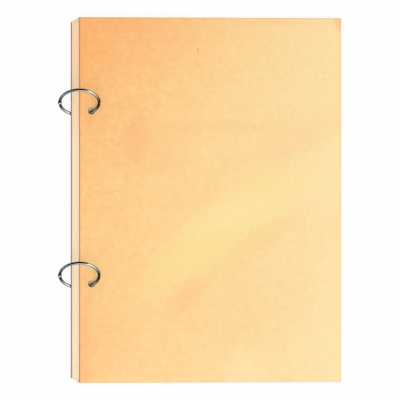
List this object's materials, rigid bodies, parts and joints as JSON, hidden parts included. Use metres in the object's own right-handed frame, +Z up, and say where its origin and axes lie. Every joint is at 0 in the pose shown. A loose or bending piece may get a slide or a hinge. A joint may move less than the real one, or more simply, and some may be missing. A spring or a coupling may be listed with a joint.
{
  "type": "loose-leaf sketchbook",
  "caption": "Block of loose drawing leaves between two board covers, turning on two hinged metal rings.",
  "frame": {"origin": "middle of the bounding box, on the surface the closed book lies on", "axes": "+X from the spine to the fore edge, +Y from the tail to the head, +Z up through the front cover"},
  "size_m": [0.2476, 0.3048, 0.0284],
  "materials": {
    "front_board": "fibrous kraft-like board, mottled peach to cream",
    "back_board": "plain fibrous board",
    "drawing_paper": "warm uncoated drawing paper",
    "ring_metal": "bright plated wire",
    "rivet_metal": "bright plated rivet"
  },
  "bodies": {
    "back": {"back_cover": "back_board"},
    "section_1": {"leaf_01": "drawing_paper", "leaf_02": "drawing_paper", "leaf_03": "drawing_paper", "leaf_04": "drawing_paper"},
    "section_2": {"leaf_05": "drawing_paper", "leaf_06": "drawing_paper", "leaf_07": "drawing_paper", "leaf_08": "drawing_paper"},
    "section_3": {"leaf_09": "drawing_paper", "leaf_10": "drawing_paper", "leaf_11": "drawing_paper", "leaf_12": "drawing_paper"},
    "section_4": {"leaf_13": "drawing_paper", "leaf_14": "drawing_paper", "leaf_15": "drawing_paper", "leaf_16": "drawing_paper"},
    "section_5": {"leaf_17": "drawing_paper", "leaf_18": "drawing_paper", "leaf_19": "drawing_paper", "leaf_20": "drawing_paper"},
    "front": {"front_cover": "front_board"},
    "ring_1_base": {"ring_1_lower_half": "ring_metal", "ring_1_rivet": "rivet_metal"},
    "ring_1_gate": {"ring_1_upper_half": "ring_metal"},
    "ring_2_base": {"ring_2_lower_half": "ring_metal", "ring_2_rivet": "rivet_metal"},
    "ring_2_gate": {"ring_2_upper_half": "ring_metal"}
  },
  "joints": [
    {"name": "section_1_turn", "type": "hinge", "parent": "back", "child": "section_1", "pos_m": [-0.10917, 0, 0.01707], "axis": [0, -1, 0], "range_deg": [0, 6]},
    {"name": "section_2_turn", "type": "hinge", "parent": "section_1", "child": "section_2", "pos_m": [-0.10827, 0, 0.01706], "axis": [0, -1, 0], "range_deg": [0, 6]},
    {"name": "section_3_turn", "type": "hinge", "parent": "section_2", "child": "section_3", "pos_m": [-0.10736, 0, 0.01705], "axis": [0, -1, 0], "range_deg": [0, 6]},
    {"name": "section_4_turn", "type": "hinge", "parent": "section_3", "child": "section_4", "pos_m": [-0.10646, 0, 0.01704], "axis": [0, -1, 0], "range_deg": [0, 6]},
    {"name": "section_5_turn", "type": "hinge", "parent": "section_4", "child": "section_5", "pos_m": [-0.10555, 0, 0.01703], "axis": [0, -1, 0], "range_deg": [0, 6]},
    {"name": "front_cover_turn", "type": "hinge", "parent": "section_5", "child": "front", "pos_m": [-0.10484, 0, 0.01702], "axis": [0, -1, 0], "range_deg": [0, 90]},
    {"name": "ring_1_swing", "type": "hinge", "parent": "back", "child": "ring_1_base", "pos_m": [-0.10031, 0.07171, 0.00301], "axis": [0.9803, -0.0771, 0.1816], "range_deg": [0, 33.05]},
    {"name": "ring_2_swing", "type": "hinge", "parent": "back", "child": "ring_2_base", "pos_m": [-0.10031, -0.07234, 0.00301], "axis": [0.9803, -0.0771, 0.1816], "range_deg": [0, 33.05]},
    {"name": "ring_1_open", "type": "hinge", "parent": "ring_1_base", "child": "ring_1_gate", "pos_m": [-0.12216, 0.08137, 0.0097], "axis": [0.1732, 0.7771, -0.605], "range_deg": [-50, 0]},
    {"name": "ring_2_open", "type": "hinge", "parent": "ring_2_base", "child": "ring_2_gate", "pos_m": [-0.12216, -0.06268, 0.0097], "axis": [0.1732, 0.7771, -0.605], "range_deg": [-50, 0]}
  ],
  "couplings": [
    {"joint": "ring_1_swing", "follows": "front_cover_turn", "ratio": 0.3669},
    {"joint": "ring_2_swing", "follows": "front_cover_turn", "ratio": 0.3669}
  ]
}
